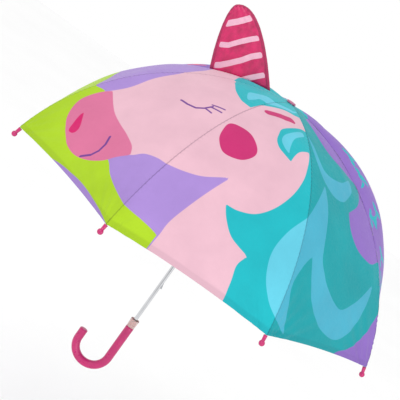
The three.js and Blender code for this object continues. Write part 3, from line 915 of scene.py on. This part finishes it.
class UMBRELLA_OT_horn(bpy.types.Operator):
    """Make the soft satin horn with its bound edge and stripes"""

    bl_idname = "umbrella.horn"
    bl_label = "Horn"

    def execute(self, context):
        settings = context.scene.umbrella_horn
        self.cloth(settings)
        self.edge(settings)
        return {"FINISHED"}

    def cloth(self, settings):
        columns, rows = 44, 60
        axis = rib_axis(0)
        points, flat = [], []
        for side in (1, -1):
            for i in range(rows + 1):
                up = math.sin(math.pi / 2 * i / rows)
                for j in range(columns + 1):
                    across = j / columns
                    middle = horn_point(across, up)
                    rim = (4 * across * (1 - across)) ** 0.45 * min(1, 4 * (1 - up)) ** 0.5
                    swell = rim * (0.5 + 0.5 * min(1, 6 * up))
                    fold = 0.0007 * math.sin(26 * across + 9 * up + side) * math.sin(17 * up - 5 * across)
                    fold += 0.0004 * math.sin(60 * up + 22 * across)
                    lean = 0.0012 * math.sin(3.1 * up) * (across - 0.4)
                    push = side * (settings.thickness / 2 + fold) * swell + lean * rim
                    points.append(in_horn_plane(middle) + axis * push)
                    if side > 0:
                        flat.append((middle, across, up))
        width, layer = columns + 1, (columns + 1) * (rows + 1)
        faces = []
        for i in range(rows):
            for j in range(columns):
                a, b, c, d = i * width + j, i * width + j + 1, (i + 1) * width + j + 1, (i + 1) * width + j
                faces += [(a, b, c, d), (a + layer, d + layer, c + layer, b + layer)]
        rim = [(0, j) for j in range(columns)] + [(i, columns) for i in range(rows)]
        rim += [(rows, j) for j in range(columns, 0, -1)] + [(i, 0) for i in range(rows, 0, -1)]
        numbers = [i * width + j for i, j in rim]
        faces += [(a, a + layer, b + layer, b) for a, b in zip(numbers, numbers[1:] + numbers[:1])]
        mesh = bpy.data.meshes.new("horn_cloth")
        mesh.from_pydata([tuple(point) for point in points], [], faces)
        bands = mesh.attributes.new("stripe", "FLOAT", "POINT")
        bands.data.foreach_set("value", self.stripes(flat) * 2)
        self.close(mesh)
        mesh.shade_smooth()
        mesh.materials.append(self.satin(settings))
        horn = linked("horn_cloth", mesh)
        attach(horn, "rib_1_inner")
        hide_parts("horn")

    def close(self, mesh):
        shell = bmesh.new()
        shell.from_mesh(mesh)
        bmesh.ops.remove_doubles(shell, verts=shell.verts, dist=0.00002)
        bmesh.ops.recalc_face_normals(shell, faces=shell.faces)
        shell.to_mesh(mesh)
        shell.free()

    def stripes(self, flat):
        """Millimetres inside a stripe, for each point of one side of the horn."""
        places = np.array([((point.x) * 1000, (point.y - CROWN_HEIGHT) * 1000) for point, _, _ in flat])
        best = np.full(len(flat), -1e9)
        for width, line in HORN_STRIPES:
            best = np.maximum(best, width / 2 - distances(places, np.array(line, float), False))
        margin = []
        for _, across, up in flat:
            row = (horn_point(1, up) - horn_point(0, up)).length
            margin.append((min(across, 1 - across) * row - STRIPE_MARGIN) * 1000)
        return np.minimum(best, margin).tolist()

    def edge(self, settings):
        """The folded tape round the free edges, an oval in section."""
        line = [horn_point(0, math.sin(math.pi / 2 * i / 40)) for i in range(40)]
        line += [horn_point(1, math.sin(math.pi / 2 * i / 40)) for i in range(40, -1, -1)]
        wide, deep = settings.binding_width / 2, settings.binding_depth / 2
        axis = rib_axis(0)
        sides = 20
        points, faces = [], []
        for i, point in enumerate(line):
            run = (line[min(i + 1, len(line) - 1)] - line[max(i - 1, 0)]).normalized()
            inward = Vector((run.y, -run.x))
            middle = point + inward * wide * 0.92
            for j in range(sides):
                turn = 2 * math.pi * j / sides
                ripple = 1 + 0.05 * math.sin(i * 2.1 + j) * math.sin(i * 0.7)
                place = in_horn_plane(middle + inward * wide * math.cos(turn) * ripple)
                points.append(place + axis * deep * math.sin(turn) * ripple)
        for i in range(len(line) - 1):
            for j in range(sides):
                k = (j + 1) % sides
                faces.append((i * sides + j, i * sides + k, (i + 1) * sides + k, (i + 1) * sides + j))
        faces.append(tuple(range(sides)))
        faces.append(tuple((len(line) - 1) * sides + j for j in range(sides)))
        mesh = mesh_from("horn_edge", points, faces)
        face_outwards(mesh)
        mesh.materials.append(self.bias_tape(settings))
        tape = linked("horn_edge", mesh)
        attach(tape, "rib_1_inner")

    def satin(self, settings):
        look = Look("horn_satin").set(Sheen_Weight=0.4, Sheen_Roughness=0.3, Coat_Weight=0.2, Coat_Roughness=0.3)
        band = look.fit(look.attribute("stripe"), -0.3, 0.3, 0, 1)
        # Painted shade: noise darkens the satin in patches, standing in for the shade in its wrinkles.
        shade = look.fit(look.noise(60, 4, 0.6), 0.35, 0.7, 0, 1)
        ground = look.mix(shade, tuple(settings.satin), tuple(channel * 0.62 for channel in settings.satin))
        look.link(look.mix(band, ground, tuple(settings.stripe)), look.shader.inputs["Base Color"])
        look.link(look.fit(look.noise(200, 3), 0.3, 0.7, 0.34, 0.5), look.shader.inputs["Roughness"])
        folds = look.bump(look.noise(70, 4, 0.65), 0.6, 0.002)
        look.link(look.bump(look.noise(1400, 2), 0.15, 0.0002, folds), look.shader.inputs["Normal"])
        return look.material

    def bias_tape(self, settings):
        look = Look("horn_binding").set(Sheen_Weight=0.3)
        shade = look.fit(look.noise(120, 4), 0.3, 0.7, 0, 1)
        look.link(look.mix(shade, tuple(settings.binding), tuple(c * 0.7 for c in settings.binding)),
                  look.shader.inputs["Base Color"])
        look.link(look.fit(look.noise(300, 3), 0.3, 0.7, 0.45, 0.6), look.shader.inputs["Roughness"])
        look.link(look.bump(look.noise(380, 4), 0.5, 0.0008), look.shader.inputs["Normal"])
        return look.material


# ---- hard pieces ----


class UMBRELLA_OT_handle(bpy.types.Operator):
    """Make the hook handle with its softly rounded free end"""

    bl_idname = "umbrella.handle"
    bl_label = "Handle"

    def execute(self, context):
        settings = context.scene.umbrella_handle
        low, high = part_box("handle")
        radius = settings.radius
        hook = (high.x - low.x) / 2 - radius
        foot = low.z + hook + radius
        rise = 0.018
        path = [Vector((0, 0, high.z - (high.z - foot) * i / 10)) for i in range(10)]
        for i in range(41):
            angle = math.pi * i / 40
            path.append(Vector((hook * (math.cos(angle) - 1), 0, foot - hook * math.sin(angle))))
        for i in range(1, 6):
            path.append(Vector((-2 * hook, 0, foot + rise * i / 5)))
        rings, sides = [], settings.sides
        ease = settings.end_round
        for i, point in enumerate(path):
            before, after = path[max(i - 1, 0)], path[min(i + 1, len(path) - 1)]
            rings.append((point, (after - before).normalized(), radius))
        end_point, end_along, _ = rings.pop()
        for i in range(5):
            angle = math.pi / 2 * i / 4
            rings.append((end_point - end_along * ease * (1 - math.sin(angle)), end_along,
                          radius - ease * (1 - math.cos(angle))))
        first_point, first_along, _ = rings[0]
        shoulder = 0.0012
        rings[0] = (first_point - Vector((0, 0, shoulder)), first_along, radius)
        rings.insert(0, (first_point - Vector((0, 0, shoulder * 0.3)), first_along, radius - shoulder * 0.3))
        rings.insert(0, (first_point, first_along, radius - shoulder))
        points, faces = [], []
        for point, along, wide in rings:
            out = Vector((0, 1, 0))
            side = along.cross(out)
            for j in range(sides):
                turn = 2 * math.pi * j / sides
                points.append(point + (out * math.cos(turn) + side * math.sin(turn)) * wide)
        for i in range(len(rings) - 1):
            for j in range(sides):
                k = (j + 1) % sides
                faces.append((i * sides + j, i * sides + k, (i + 1) * sides + k, (i + 1) * sides + j))
        faces.append(tuple(range(sides)))
        faces.append(tuple((len(rings) - 1) * sides + j for j in range(sides)))
        mesh = mesh_from("hook_handle", points, faces)
        face_outwards(mesh)
        mesh.materials.append(moulded("magenta_plastic", settings.magenta, 0.3))
        piece = linked("hook_handle", mesh)
        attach(piece, "shaft_and_handle")
        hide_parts("handle")
        return {"FINISHED"}


class UMBRELLA_OT_shaft(bpy.types.Operator):
    """Make the chromed shaft, the collar cup, the cap and the finish of the hubs and catches"""

    bl_idname = "umbrella.shaft"
    bl_label = "Shaft and hubs"

    def execute(self, context):
        settings = context.scene.umbrella_handle
        # The chrome gets a painted dark reflection down its middle.
        chrome = plated("bright_chrome", srgb(214, 215, 218), 0.12, painted_dark_reflection=0.035)
        zinc = plated("zinc_plate", srgb(176, 178, 182), 0.32)
        frame["nodes"]["shaft"].data.materials.clear()
        frame["nodes"]["shaft"].data.materials.append(chrome)
        for node in ["crown_wire", "top_catch", "bottom_catch"]:
            self.paint(node, zinc)
        for node in ["crown", "runner"]:
            self.paint(node, moulded(f"white_plastic_{node}", srgb(236, 234, 236), 0.42))
        low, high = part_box("handle_collar")
        bore, foot_radius, rim_radius, wall, floor = 0.0038, 0.0072, 0.0082, 0.0011, 0.002
        profile = [
            (bore, low.z), (foot_radius, low.z), (foot_radius * 1.03, low.z + 0.004),
            (rim_radius - 0.0003, high.z - 0.003), (rim_radius, high.z), (rim_radius - wall, high.z),
            (foot_radius - wall, low.z + floor), (bore, low.z + floor),
        ]
        collar = linked("collar_cup", lathe("collar_cup", rounded(profile, 0.0005, 3, True), 48, True))
        collar.data.materials.append(self.frosted(settings))
        self.hold(collar, "handle_collar", "collar_plastic")
        low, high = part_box("top_cap")
        radius = high.x
        profile = [
            (0, 0.5 * (low.z + high.z) - 0.0006), (bore, 0.5 * (low.z + high.z) - 0.0006), (bore, low.z),
            (radius, low.z), (radius, high.z - 0.0006), (radius - 0.0022, high.z), (0.0042, high.z),
            (0.0036, high.z - 0.0004), (0, high.z - 0.0004),
        ]
        cap = linked("crown_cap", lathe("crown_cap", rounded(profile, 0.0007, 4), 56))
        cap.data.materials.append(moulded("dusty_plastic", srgb(199, 108, 143), 0.34))
        self.hold(cap, "top_cap", "cap_plastic")
        return {"FINISHED"}

    def paint(self, node, material):
        mesh = frame["nodes"][node].data
        mesh.materials.clear()
        mesh.materials.append(material)

    def hold(self, piece, node, slot):
        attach(piece, "shaft_and_handle")
        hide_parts(node)

    def frosted(self, settings):
        look = Look("frosted_plastic").set(
            Transmission_Weight=0.35, Subsurface_Weight=0.2, IOR=1.46, Coat_Weight=0.3
        )
        look.shader.inputs["Subsurface Radius"].default_value = (0.004, 0.002, 0.002)
        shade = look.fit(look.noise(90, 3), 0.3, 0.7, 0, 1)
        look.link(look.mix(shade, tuple(settings.collar), tuple(c * 0.93 for c in settings.collar)),
                  look.shader.inputs["Base Color"])
        look.link(look.fit(look.noise(260, 3), 0.3, 0.7, 0.22, 0.36), look.shader.inputs["Roughness"])
        look.link(look.bump(look.noise(800, 2), 0.08, 0.0002), look.shader.inputs["Normal"])
        return look.material


class UMBRELLA_OT_ribs(bpy.types.Operator):
    """Give the ribs and stretchers their plated finish and make the ball tips"""

    bl_idname = "umbrella.ribs"
    bl_label = "Ribs and tips"

    def execute(self, context):
        settings = context.scene.umbrella_handle
        steel = plated("rib_steel", srgb(182, 184, 188), 0.3, 500.0, (0.2, 0.2, 0.2))
        glossy = moulded("magenta_tip", settings.magenta, 0.16, 0.05)
        cover, neck, ball = 0.005, 0.0032, 0.00475
        neck_length, bore = 0.0082, 0.00235
        slope = float(slope_at(RIB_LENGTH - cover / 2))
        mouth = rib_at(RIB_LENGTH - cover)
        profile = [(0, cover + 0.0003), (bore, cover + 0.0003), (bore, 0.0002), (bore + 0.0002, 0),
                   (neck - 0.0003, 0), (neck, 0.0003), (neck * 0.94, 0.003), (neck * 0.9, 0.006)]
        start = -math.acos(neck * 0.86 / ball)
        middle = neck_length + ball
        for i in range(15):
            angle = start + (math.pi / 2 - start) * i / 14
            profile.append((max(ball * math.cos(angle), 0), middle + ball * math.sin(angle)))
        for rib in range(RIBS):
            number = rib + 1
            for node in (f"rib_{number}", f"rib_end_{number}", f"stretcher_{number}"):
                mesh = frame["nodes"][node].data
                mesh.materials.clear()
                mesh.materials.append(steel)
            mesh = lathe(f"ball_tip_{number}", profile, 40)
            mesh.materials.append(glossy)
            turn = Matrix.Rotation(HORN_TURN + GORE * rib, 4, "Z")
            lean = Matrix.Rotation(math.pi / 2 + slope, 4, "Y")
            mesh.transform(turn @ Matrix.Translation((mouth[0], 0, mouth[1])) @ lean)
            tip = linked(f"ball_tip_{number}", mesh)
            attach(tip, f"rib_{number}_outer")
            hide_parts(f"rib_tip_{number}")
        return {"FINISHED"}


class UMBRELLA_OT_stage(bpy.types.Operator):
    """Set up the pale floor, the soft light and the camera"""

    bl_idname = "umbrella.stage"
    bl_label = "Stage"

    def execute(self, context):
        settings = context.scene.umbrella_stage
        self.camera(context, settings)
        low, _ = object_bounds()
        corners = [(x * FLOOR_HALF, y * FLOOR_HALF, 0) for x, y in ((-1, -1), (1, -1), (1, 1), (-1, 1))]
        floor_mesh = mesh_from("floor", corners, [(0, 1, 2, 3)], False)
        floor = linked("floor", floor_mesh)
        floor.location.z = low.z - FLOOR_DROP
        paper = Look("floor_paper").set(Roughness=0.9)
        shade = paper.fit(paper.noise(3, 3), 0.3, 0.7, 0, 1)
        paper.link(paper.mix(shade, (0.965, 0.965, 0.965), (0.985, 0.985, 0.985)), paper.shader.inputs["Base Color"])
        floor.data.materials.append(paper.material)
        floor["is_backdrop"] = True
        world = bpy.data.worlds.new("soft_white")
        world.use_nodes = True
        world.node_tree.nodes["Background"].inputs["Color"].default_value = (1, 1, 1, 1)
        world.node_tree.nodes["Background"].inputs["Strength"].default_value = settings.light
        context.scene.world = world
        context.scene.view_settings.view_transform = "Standard"
        for name, place, aim, size, power in (
            ("key", (-1.1, -1.6, 1.9), (0, 0, 0.35), 1.1, 10),
            ("fill", (1.3, -1.9, 0.2), (0, 0, 0.3), 1.4, 9),
        ):
            lamp = bpy.data.lights.new(name, "AREA")
            lamp.size, lamp.energy = size, power
            light = bpy.data.objects.new(name, lamp)
            light.location = place
            light.rotation_mode = "QUATERNION"
            light.rotation_quaternion = (Vector(aim) - Vector(place)).to_track_quat("-Z", "Y")
            context.scene.collection.objects.link(light)
        return {"FINISHED"}

    def camera(self, context, settings):
        data = bpy.data.cameras.new("camera")
        data.sensor_width = SENSOR
        data.lens = LENS
        data.clip_end = 50
        camera = bpy.data.objects.new("camera", data)
        tilt, roll = settings.elevation, settings.roll
        right = Vector((1, 0, 0))
        up = Vector((0, math.sin(tilt), math.cos(tilt)))
        back = Vector((0, -math.cos(tilt), math.sin(tilt)))
        level = right * math.cos(roll) + up * math.sin(roll)
        upright = up * math.cos(roll) - right * math.sin(roll)
        swing, nod = CAMERA_SWING, CAMERA_NOD
        x_axis = level * math.cos(swing) - back * math.sin(swing)
        deep = level * math.sin(swing) + back * math.cos(swing)
        y_axis = upright * math.cos(nod) - deep * math.sin(nod)
        z_axis = upright * math.sin(nod) + deep * math.cos(nod)
        place = Matrix((x_axis, y_axis, z_axis)).transposed().to_4x4()
        place.translation = Vector((0, 0, CROWN_HEIGHT)) + back * settings.distance
        camera.matrix_world = place
        context.scene.collection.objects.link(camera)
        context.scene.camera = camera


class UMBRELLA_PT_panel(bpy.types.Panel):
    """The umbrella's pieces and settings"""

    bl_label = "Umbrella"
    bl_space_type = "VIEW_3D"
    bl_region_type = "UI"
    bl_category = "Umbrella"

    def draw(self, context):
        column = self.layout.column()
        for operator in OPERATORS:
            column.operator(operator.bl_idname)
        for name in SETTINGS:
            group = getattr(context.scene, name)
            column.label(text=name.replace("_", " ").capitalize())
            for key in group.__annotations__:
                column.prop(group, key)


OPERATORS = (
    UMBRELLA_OT_stage,
    UMBRELLA_OT_shaft,
    UMBRELLA_OT_handle,
    UMBRELLA_OT_ribs,
    UMBRELLA_OT_canopy,
    UMBRELLA_OT_horn,
)
SETTINGS = {
    "umbrella_canopy": CanopySettings,
    "umbrella_horn": HornSettings,
    "umbrella_handle": HandleSettings,
    "umbrella_stage": StageSettings,
}


def register():
    for group in SETTINGS.values():
        bpy.utils.register_class(group)
    for operator in OPERATORS:
        bpy.utils.register_class(operator)
    bpy.utils.register_class(UMBRELLA_PT_panel)
    for name, group in SETTINGS.items():
        setattr(bpy.types.Scene, name, PointerProperty(type=group))


def unregister():
    for name in SETTINGS:
        delattr(bpy.types.Scene, name)
    bpy.utils.unregister_class(UMBRELLA_PT_panel)
    for group in (*reversed(OPERATORS), *reversed(SETTINGS.values())):
        bpy.utils.unregister_class(group)


def main():
    register()
    bpy.ops.umbrella.stage()
    bpy.ops.umbrella.shaft()
    bpy.ops.umbrella.handle()
    bpy.ops.umbrella.ribs()
    bpy.ops.umbrella.canopy()
    bpy.ops.umbrella.horn()


if __name__ == "__main__":
    main()
